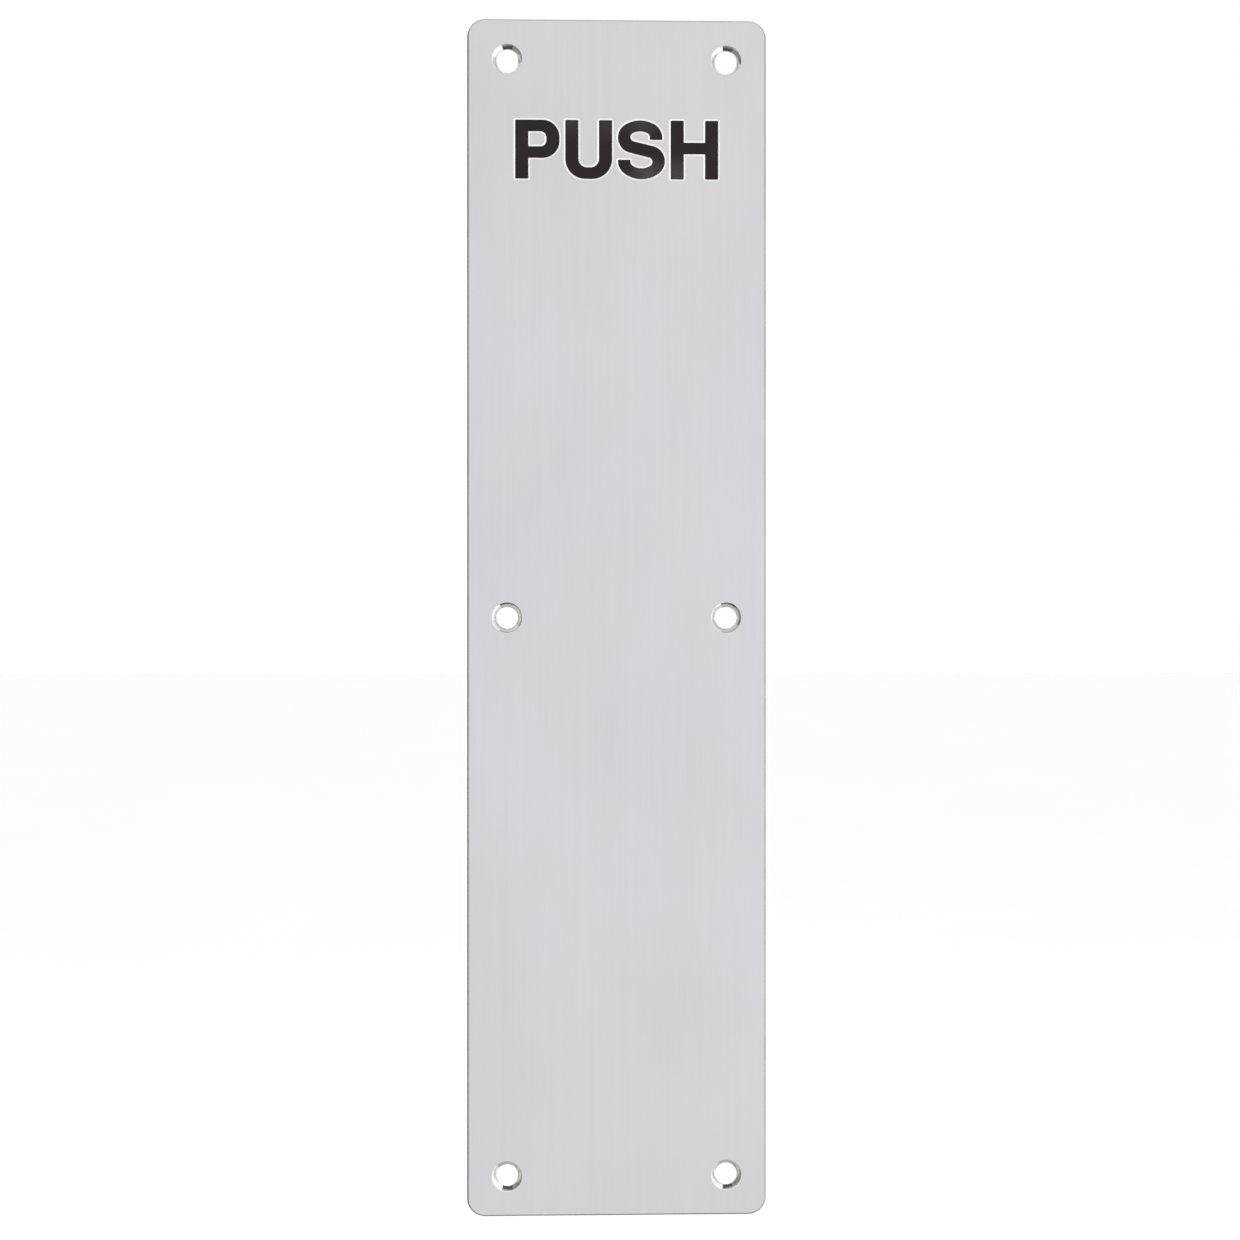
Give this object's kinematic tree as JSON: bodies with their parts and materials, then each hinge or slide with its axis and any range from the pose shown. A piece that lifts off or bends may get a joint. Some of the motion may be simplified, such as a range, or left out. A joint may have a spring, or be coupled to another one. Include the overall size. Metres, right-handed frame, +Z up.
{
  "type": "push plate",
  "caption": "Upright satin stainless push plate for a door, with rounded corners, countersunk screw holes and black-filled sunk lettering near its top.",
  "frame": {"origin": "centre of the flat back face, which lies on the door", "axes": "+Z up along the plate's length, +X to the right as a person at the door reads it, and the front face looks along -Y"},
  "size_m": [0.075, 0.0015, 0.3],
  "materials": {
    "satin_stainless": "satin, fine upright brushing",
    "black_enamel": "semi-gloss"
  },
  "bodies": {
    "root": {"plate": "satin_stainless", "letter_p_fill": "black_enamel", "letter_u_fill": "black_enamel", "letter_s_fill": "black_enamel", "letter_h_fill": "black_enamel"}
  },
  "joints": []
}
